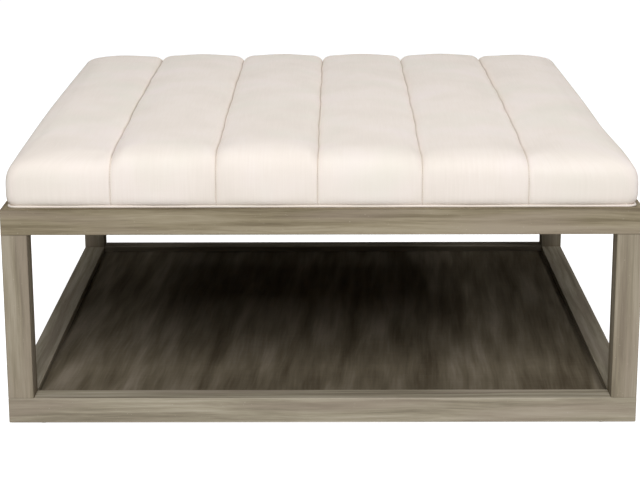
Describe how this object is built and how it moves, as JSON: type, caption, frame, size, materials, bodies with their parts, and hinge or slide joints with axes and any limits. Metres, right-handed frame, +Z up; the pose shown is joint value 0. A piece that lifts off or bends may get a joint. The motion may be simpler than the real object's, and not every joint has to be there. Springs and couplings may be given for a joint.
{
  "type": "ottoman coffee table",
  "caption": "Square ottoman coffee table: open cube frame of grey-stained hardwood rails and posts, a recessed lower shelf, and a channelled, upholstered ivory top.",
  "frame": {"origin": "on the floor, under the middle of the table", "axes": "+X to the table's right as seen from the front, +Y to the back along the seat's channels, +Z up"},
  "size_m": [1.016, 1.016, 0.4571],
  "materials": {
    "frame_wood": "grey-taupe cerused stain, wire-brushed hardwood, matt lacquer",
    "shelf_veneer": "the same grey-taupe stain on oak veneer, grain front to back",
    "inner_softwood": "planed softwood, bare",
    "deck_plywood": "birch-faced plywood, bare",
    "joint_beech": "planed beech, glued",
    "seat_foam": "cut upholstery foam",
    "seat_fibre": "bonded polyester fibre",
    "seat_fabric": "ivory slubby linen weave, quilted on a thin foam backing",
    "welt_fabric": "the seat fabric, cut on the bias round a piping cord",
    "seam_webbing": "cotton webbing",
    "dust_fabric": "black non-woven cloth",
    "screw_steel": "zinc-plated steel",
    "glide_felt": "brown needled felt"
  },
  "bodies": {
    "root": {"base_rail_back": "frame_wood", "base_rail_front": "frame_wood", "base_rail_left": "frame_wood", "base_rail_right": "frame_wood", "base_welt": "welt_fabric", "corner_block_back_left": "inner_softwood", "corner_block_back_right": "inner_softwood", "corner_block_front_left": "inner_softwood", "corner_block_front_right": "inner_softwood", "deck_screws": "screw_steel", "deck_stretcher": "inner_softwood", "dust_cloth": "dust_fabric", "fibre_wrap": "seat_fibre", "floor_glides": "glide_felt", "foam_strip_1": "seat_foam", "foam_strip_2": "seat_foam", "foam_strip_3": "seat_foam", "foam_strip_4": "seat_foam", "foam_strip_5": "seat_foam", "foam_strip_6": "seat_foam", "mitre_splines": "joint_beech", "post_back_left": "frame_wood", "post_back_right": "frame_wood", "post_front_left": "frame_wood", "post_front_right": "frame_wood", "post_tenons": "joint_beech", "seam_tape_1": "seam_webbing", "seam_tape_2": "seam_webbing", "seam_tape_3": "seam_webbing", "seam_tape_4": "seam_webbing", "seam_tape_5": "seam_webbing", "seat_cover": "seat_fabric", "seat_deck": "deck_plywood", "shelf_cleat_back": "inner_softwood", "shelf_cleat_front": "inner_softwood", "shelf_cleat_left": "inner_softwood", "shelf_cleat_right": "inner_softwood", "shelf_panel": "shelf_veneer", "stretcher_tenons": "joint_beech", "top_rail_back": "frame_wood", "top_rail_front": "frame_wood", "top_rail_left": "frame_wood", "top_rail_right": "frame_wood"}
  },
  "joints": []
}
